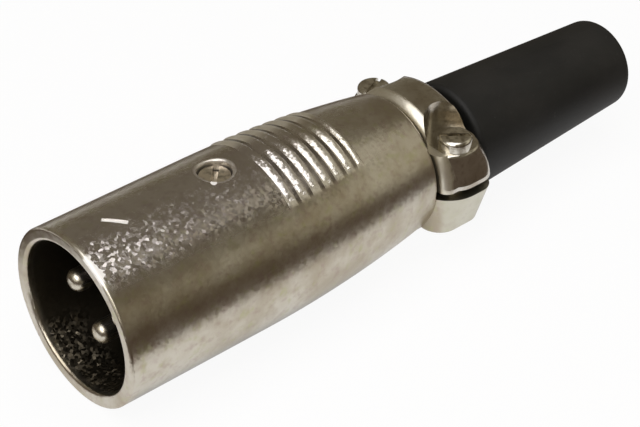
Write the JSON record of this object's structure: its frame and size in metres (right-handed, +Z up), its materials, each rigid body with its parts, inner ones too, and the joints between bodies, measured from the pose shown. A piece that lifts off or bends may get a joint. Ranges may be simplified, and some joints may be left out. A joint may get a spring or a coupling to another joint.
{
  "type": "xlr plug",
  "caption": "Male audio line plug: a tapered metal shell with ridged grips, round contact pins in an open mouth, a screwed cable clamp and a tapered rubber boot.",
  "frame": {"origin": "centre of the mouth's rim, on the shell's axis", "axes": "+X along the shell's axis from the mouth to the boot; +Z up, from the lower contact towards the key rib and the set screw; +Y the other side's screw ear"},
  "size_m": [0.0735, 0.019, 0.0192],
  "materials": {
    "casting": "satin nickel plate on a die casting",
    "saddle": "smooth nickel plate on a die casting",
    "screw": "bright nickel plate",
    "contact": "bright plate",
    "terminal": "plain",
    "insert": "moulded",
    "boot": "matte moulded"
  },
  "bodies": {
    "plug": {"shell": "casting", "contact_insert": "insert", "pin_1": "contact", "pin_2": "contact", "pin_3": "contact", "ground_terminal": "terminal", "boot": "boot"},
    "set_screw": {"set_screw": "screw"},
    "clamp_saddle": {"clamp_saddle": "saddle"},
    "clamp_screw_left": {"clamp_screw_left": "screw"},
    "clamp_screw_right": {"clamp_screw_right": "screw"}
  },
  "joints": [
    {"name": "set_screw_turn", "type": "hinge", "parent": "plug", "child": "set_screw", "pos_m": [0.0175, 0, 0.0088], "axis": [0, 0, 1], "range_deg": [0, 1440]},
    {"name": "saddle_lift", "type": "slide", "parent": "plug", "child": "clamp_saddle", "axis": [0, 0, 1], "range_m": [0, 0.002]},
    {"name": "clamp_screw_left_turn", "type": "hinge", "parent": "clamp_saddle", "child": "clamp_screw_left", "pos_m": [0.0441, -0.0063, 0.00375], "axis": [0, 0, 1], "range_deg": [0, 1800]},
    {"name": "clamp_screw_right_turn", "type": "hinge", "parent": "clamp_saddle", "child": "clamp_screw_right", "pos_m": [0.0441, 0.0063, 0.00375], "axis": [0, 0, 1], "range_deg": [0, 1800]}
  ],
  "couplings": [
    {"joint": "clamp_screw_left_turn", "follows": "saddle_lift", "rad_per_m": 15700},
    {"joint": "clamp_screw_right_turn", "follows": "saddle_lift", "rad_per_m": 15700}
  ]
}
